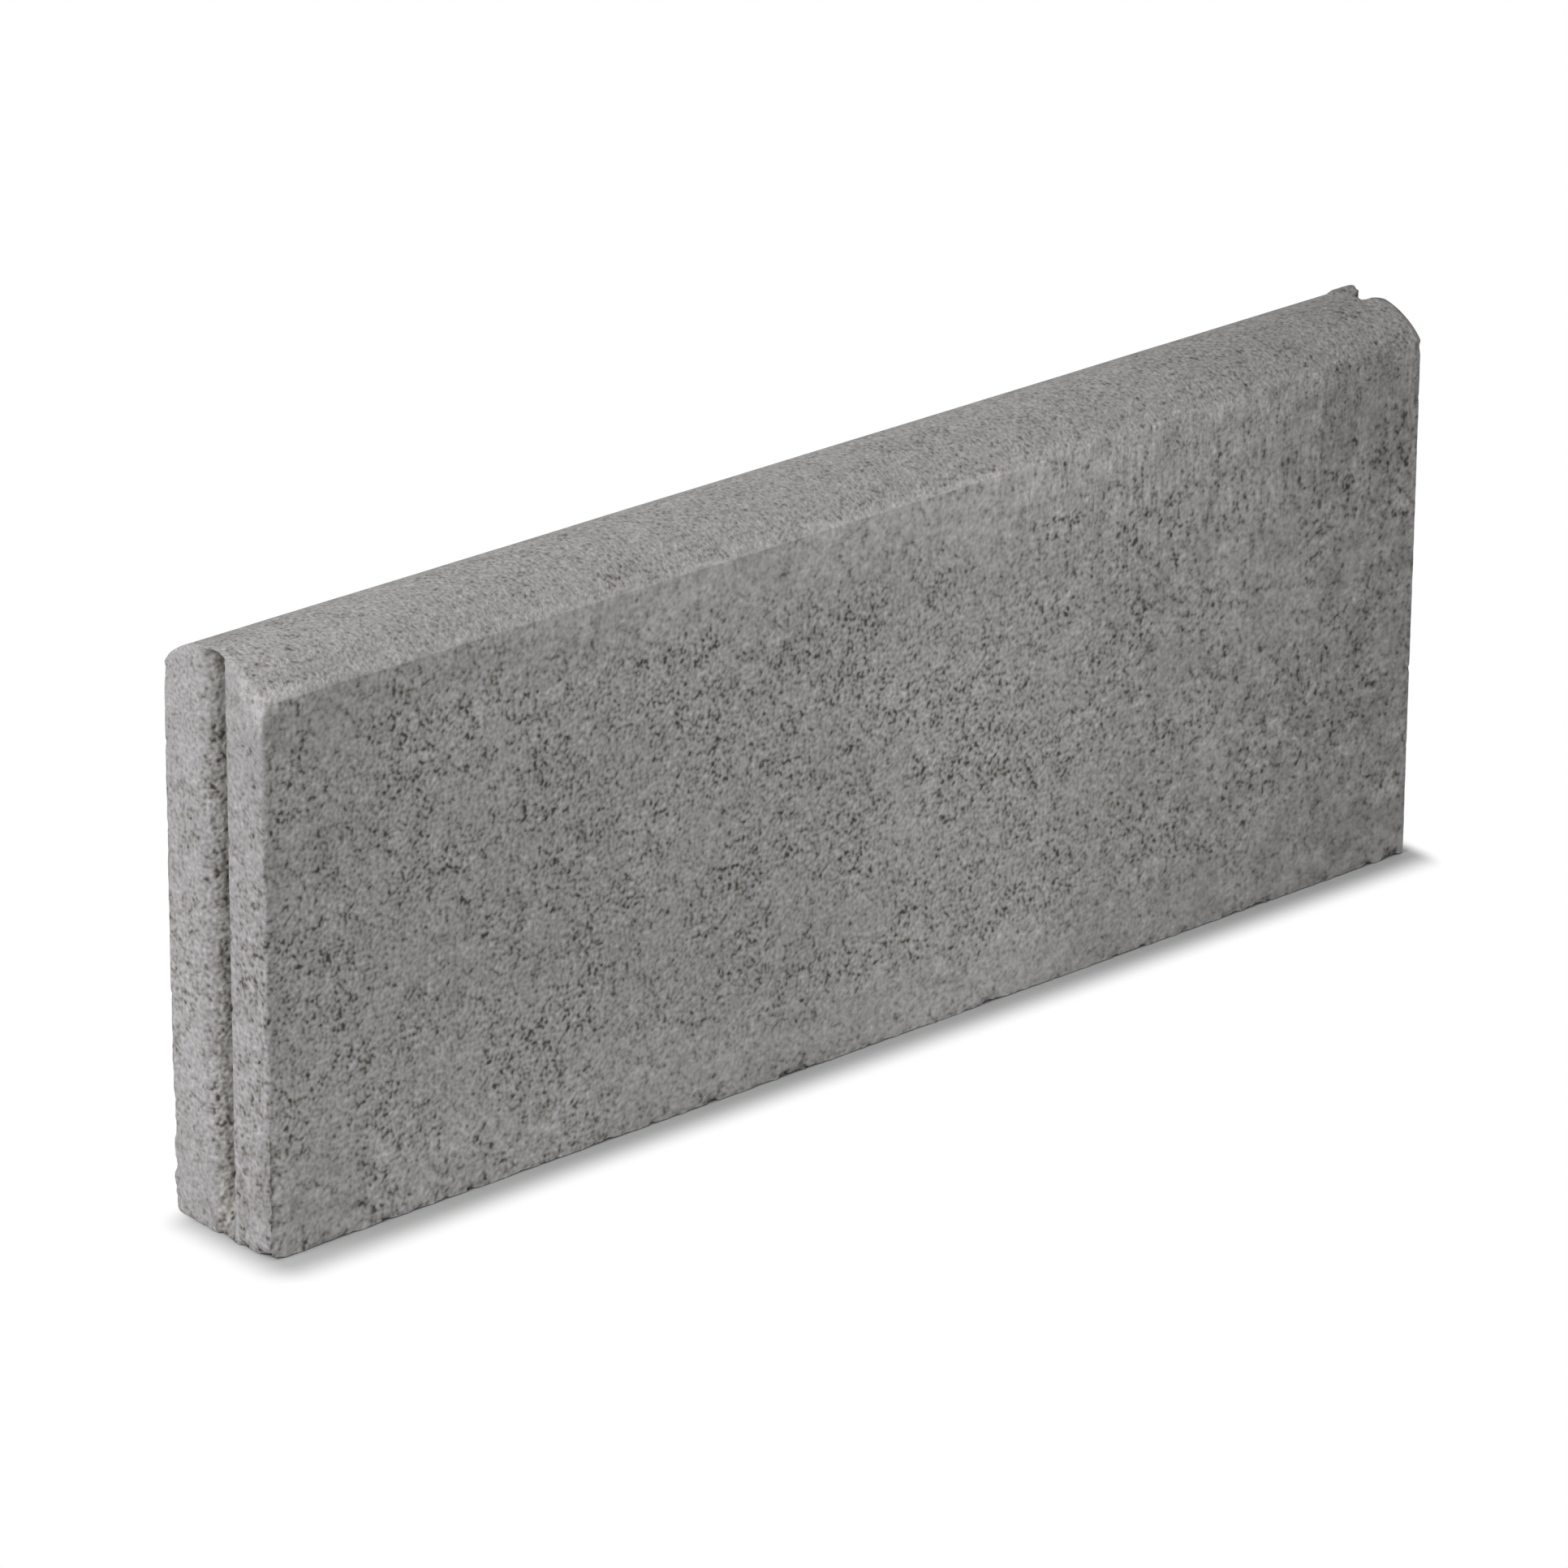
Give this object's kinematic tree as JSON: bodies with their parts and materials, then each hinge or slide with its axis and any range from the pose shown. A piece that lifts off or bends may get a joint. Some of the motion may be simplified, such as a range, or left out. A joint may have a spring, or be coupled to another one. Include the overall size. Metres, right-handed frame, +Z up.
{
  "type": "concrete kerb stone",
  "caption": "Concrete edging kerb, 500 x 200 x 50 mm, standing on its foot, with a crowned top and a vertical key groove down the middle of each end.",
  "frame": {"origin": "middle of the foot, on the floor plane", "axes": "+X along the length, +Y from the front face to the back face, +Z up from the foot to the crowned top"},
  "size_m": [0.5, 0.05, 0.2],
  "materials": {
    "concrete": "raw cast concrete, fine sandy grain with open pores, matt"
  },
  "bodies": {
    "root": {"kerb_stone": "concrete"}
  },
  "joints": []
}
